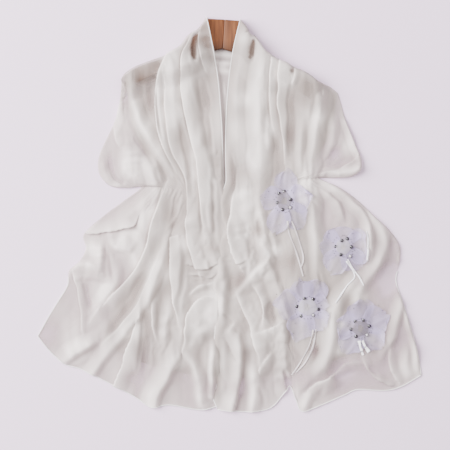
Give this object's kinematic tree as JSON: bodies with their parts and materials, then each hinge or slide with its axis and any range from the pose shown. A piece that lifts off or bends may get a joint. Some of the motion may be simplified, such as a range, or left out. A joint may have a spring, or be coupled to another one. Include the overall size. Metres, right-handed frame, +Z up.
{
  "type": "chiffon hijab on a wooden hanger",
  "caption": "long sheer chiffon headscarf with narrow rolled hems, dressed over a wooden hanger and laid out flat, with organza flowers, glass stones and satin ribbon stems near one end",
  "frame": {"origin": "on the surface that the scarf lies on, on the underside of its flat back stretch, below the middle of the laid-out shape", "axes": "+Z up from the surface, +Y from the lower hem towards the neck of the hanger, +X towards the end that carries the flowers"},
  "size_m": [0.8229, 0.8513, 0.0316],
  "materials": {
    "chiffon": "sheer matt crepe chiffon, ivory white",
    "hem": "narrow rolled hem, ivory white",
    "organza": "crisp sheer organza, cool white",
    "satin": "glossy satin ribbon, white",
    "stones": "cut glass in a metal setting",
    "hanger_wood": "varnished beech, reddish brown"
  },
  "bodies": {
    "root": {"back_stretch": "chiffon", "flower_1_petals": "organza", "flower_1_stem_1": "satin", "flower_1_stem_2": "satin", "flower_1_stone_1": "stones", "flower_1_stone_2": "stones", "flower_1_stone_3": "stones", "flower_1_stone_4": "stones", "flower_1_stone_5": "stones", "flower_1_stone_6": "stones", "flower_2_petals": "organza", "flower_2_stem_1": "satin", "flower_2_stem_2": "satin", "flower_2_stone_1": "stones", "flower_2_stone_2": "stones", "flower_2_stone_3": "stones", "flower_2_stone_4": "stones", "flower_2_stone_5": "stones", "flower_2_stone_6": "stones", "flower_3_petals": "organza", "flower_3_stem_1": "satin", "flower_3_stem_2": "satin", "flower_3_stone_1": "stones", "flower_3_stone_2": "stones", "flower_3_stone_3": "stones", "flower_3_stone_4": "stones", "flower_3_stone_5": "stones", "flower_3_stone_6": "stones", "flower_4_petals": "organza", "flower_4_stem_1": "satin", "flower_4_stem_2": "satin", "flower_4_stone_1": "stones", "flower_4_stone_2": "stones", "flower_4_stone_3": "stones", "flower_4_stone_4": "stones", "flower_4_stone_5": "stones", "flower_4_stone_6": "stones", "hanger_left": "hanger_wood", "hanger_right": "hanger_wood", "left_end_hem": "hem", "left_front": "chiffon", "left_neck_hem": "hem", "left_side_hem": "hem", "right_end_hem": "hem", "right_front": "chiffon", "right_neck_hem": "hem", "right_side_hem": "hem"}
  },
  "joints": []
}
